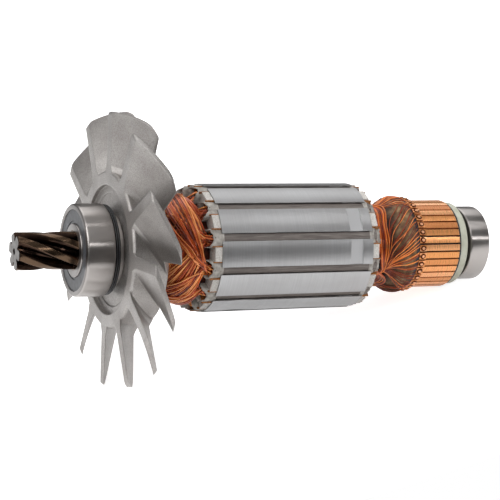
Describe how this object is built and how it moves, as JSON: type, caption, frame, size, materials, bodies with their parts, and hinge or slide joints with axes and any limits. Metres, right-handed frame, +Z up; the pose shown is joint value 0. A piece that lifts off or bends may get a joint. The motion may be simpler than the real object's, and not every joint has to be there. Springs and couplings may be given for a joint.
{
  "type": "motor armature",
  "caption": "Armature of a hand-tool universal motor, with helical pinion, ball bearings, cast radial fan, laminated core, coils and commutator, lying on its side.",
  "frame": {"origin": "on the shaft, at the middle of the front bearing's outer ring", "axes": "+Z up from the table it lies on. The shaft lies in the XZ plane and runs back along +X from the pinion end, leaning down by 13.4 degrees, as it rests on two fan blades and the rear bearing."},
  "size_m": [0.1954, 0.104, 0.102],
  "materials": {
    "shaft_steel": "heat-tinted, dark brown on the pinion teeth, ground grey elsewhere",
    "bright_steel": "turned",
    "bearing_steel": "ground and polished",
    "seal_rubber": "matt grey-black",
    "black_rubber": "satin",
    "cast_aluminium": "die-cast, fine grain",
    "core_steel": "turned across the laminations",
    "white_fibre": "matt",
    "slot_paper": "grey paper with brown edges",
    "wedge_fibre": "grey-brown, satin",
    "enamelled_wire": "orange-brown enamel, glossy",
    "varnished_cone": "grey-brown varnish over string and wire",
    "bar_copper": "turned copper",
    "dark_moulding": "dark slate phenolic",
    "cream_ring": "pale cream-green moulding"
  },
  "bodies": {
    "rotor": {"shaft": "shaft_steel", "spacer_bush": "bright_steel", "dust_ring": "black_rubber", "washer": "bright_steel", "fan": "cast_aluminium", "insulation_tube": "white_fibre", "lamination_core": "core_steel", "front_end_plate": "white_fibre", "rear_end_plate": "white_fibre", "slot_liners": "slot_paper", "slot_wedges": "wedge_fibre", "slot_conductors": "enamelled_wire", "front_coil_heads": "enamelled_wire", "rear_coil_heads": "enamelled_wire", "lead_cone": "varnished_cone", "commutator_leads": "bar_copper", "commutator_bars": "bar_copper", "commutator_moulding": "dark_moulding", "insulating_ring": "cream_ring", "front_bearing_inner_ring": "bearing_steel", "rear_bearing_inner_ring": "bearing_steel"},
    "front_outer": {"front_bearing_outer_ring": "bearing_steel", "front_bearing_front_seal": "seal_rubber", "front_bearing_rear_seal": "seal_rubber"},
    "front_balls_and_cage": {"front_bearing_balls": "bearing_steel", "front_bearing_cage": "bright_steel"},
    "rear_outer": {"rear_bearing_outer_ring": "bearing_steel", "rear_bearing_front_seal": "seal_rubber", "rear_bearing_rear_seal": "seal_rubber"},
    "rear_balls_and_cage": {"rear_bearing_balls": "bearing_steel", "rear_bearing_cage": "bright_steel"}
  },
  "joints": [
    {"name": "front_bearing_spin", "type": "hinge", "parent": "rotor", "child": "front_outer", "pos_m": [0, 0, 0], "axis": [0.9727, 0, -0.232], "continuous": true},
    {"name": "front_cage_spin", "type": "hinge", "parent": "rotor", "child": "front_balls_and_cage", "pos_m": [0, 0, 0], "axis": [0.9727, 0, -0.232], "continuous": true},
    {"name": "rear_bearing_spin", "type": "hinge", "parent": "rotor", "child": "rear_outer", "pos_m": [0.15885, 0, -0.03788], "axis": [0.9727, 0, -0.232], "continuous": true},
    {"name": "rear_cage_spin", "type": "hinge", "parent": "rotor", "child": "rear_balls_and_cage", "pos_m": [0.15885, 0, -0.03788], "axis": [0.9727, 0, -0.232], "continuous": true}
  ],
  "couplings": [
    {"joint": "front_cage_spin", "follows": "front_bearing_spin", "ratio": 0.61904},
    {"joint": "rear_cage_spin", "follows": "rear_bearing_spin", "ratio": 0.61905}
  ]
}
